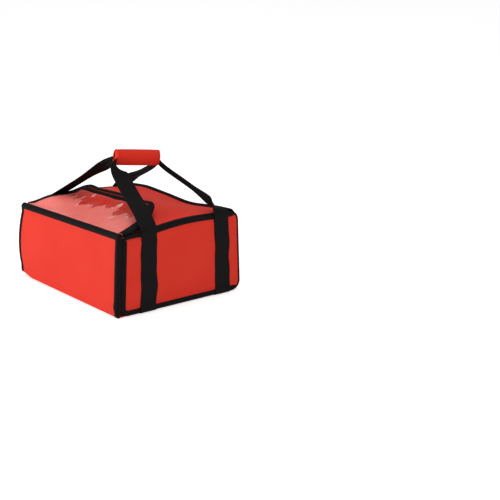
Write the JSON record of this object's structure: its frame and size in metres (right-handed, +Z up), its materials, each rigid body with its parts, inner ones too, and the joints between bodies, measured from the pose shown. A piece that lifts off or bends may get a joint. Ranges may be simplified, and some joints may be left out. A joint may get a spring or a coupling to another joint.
{
  "type": "pizza_delivery_bag",
  "caption": "Soft insulated box bag for pizza boxes, with a drop-down front wall, a folding flap with a clear window, and two webbing handles gathered in a padded grip",
  "frame": {"origin": "bottom centre of the bounding box, on the floor under the webbing", "axes": "+X to the right side panel, -Y out of the front wall, +Z up"},
  "size_m": [0.4702, 0.385, 0.3651],
  "materials": {
    "red_cloth": "woven",
    "foam": "matte",
    "silver_lining": "satin",
    "black_tape": "woven",
    "hook_and_loop": "napped",
    "black_webbing": "woven",
    "red_grip_cloth": "woven",
    "clear_film": "gloss"
  },
  "bodies": {
    "bag": {"body_cloth": "red_cloth", "lid_cloth": "red_cloth", "side_cloth_right": "red_cloth", "side_cloth_left": "red_cloth", "bottom_board": "foam", "back_board": "foam", "lid_board": "foam", "side_board_right": "foam", "side_board_left": "foam", "body_lining": "silver_lining", "lid_lining": "silver_lining", "side_lining_right": "silver_lining", "side_lining_left": "silver_lining", "side_tape_right": "black_tape", "side_tape_left": "black_tape", "back_top_tape": "black_tape", "lid_front_tape": "black_tape", "loop_strip_right": "hook_and_loop", "loop_strip_left": "hook_and_loop", "strap_under_front": "black_webbing", "strap_under_rear": "black_webbing", "strap_side_front_right": "black_webbing", "strap_side_front_left": "black_webbing", "strap_side_rear_right": "black_webbing", "strap_side_rear_left": "black_webbing", "strap_leg_front_right": "black_webbing", "strap_leg_front_left": "black_webbing", "strap_leg_rear_right": "black_webbing", "strap_leg_rear_left": "black_webbing"},
    "front_wall": {"front_cloth": "red_cloth", "front_board": "foam", "front_lining": "silver_lining", "front_tape_right": "black_tape", "front_tape_left": "black_tape", "fold_tape": "black_tape"},
    "flap": {"flap_cloth": "red_cloth", "flap_board": "foam", "flap_lining": "silver_lining", "flap_tape": "black_tape", "window_film": "clear_film", "window_tape": "black_tape", "hook_strip_right": "hook_and_loop", "hook_strip_left": "hook_and_loop"},
    "grip": {"grip_wrap": "red_grip_cloth", "grip_pad": "foam", "grip_webbing_right": "black_webbing", "grip_webbing_left": "black_webbing", "grip_loop_strip": "hook_and_loop"},
    "wrap": {"grip_flap": "red_grip_cloth", "grip_flap_pad": "foam", "grip_hook_strip": "hook_and_loop"}
  },
  "joints": [
    {"name": "front_drop", "type": "hinge", "parent": "bag", "child": "front_wall", "pos_m": [0, -0.1845, 0.008], "axis": [1, 0, 0], "range_deg": [0, 90]},
    {"name": "flap_fold", "type": "hinge", "parent": "front_wall", "child": "flap", "pos_m": [0, -0.1749, 0.2054], "axis": [1, 0, 0], "range_deg": [0, 90]},
    {"name": "grip_drop", "type": "slide", "parent": "bag", "child": "grip", "axis": [0, 0, -1], "range_m": [0, 0.07], "deforming": ["strap_leg_front_right", "strap_leg_front_left", "strap_leg_rear_right", "strap_leg_rear_left"]},
    {"name": "wrap_open", "type": "hinge", "parent": "grip", "child": "wrap", "pos_m": [0, 0.0358, 0.35418], "axis": [0, -0.9877, 0.1564], "range_deg": [0, 120]}
  ]
}
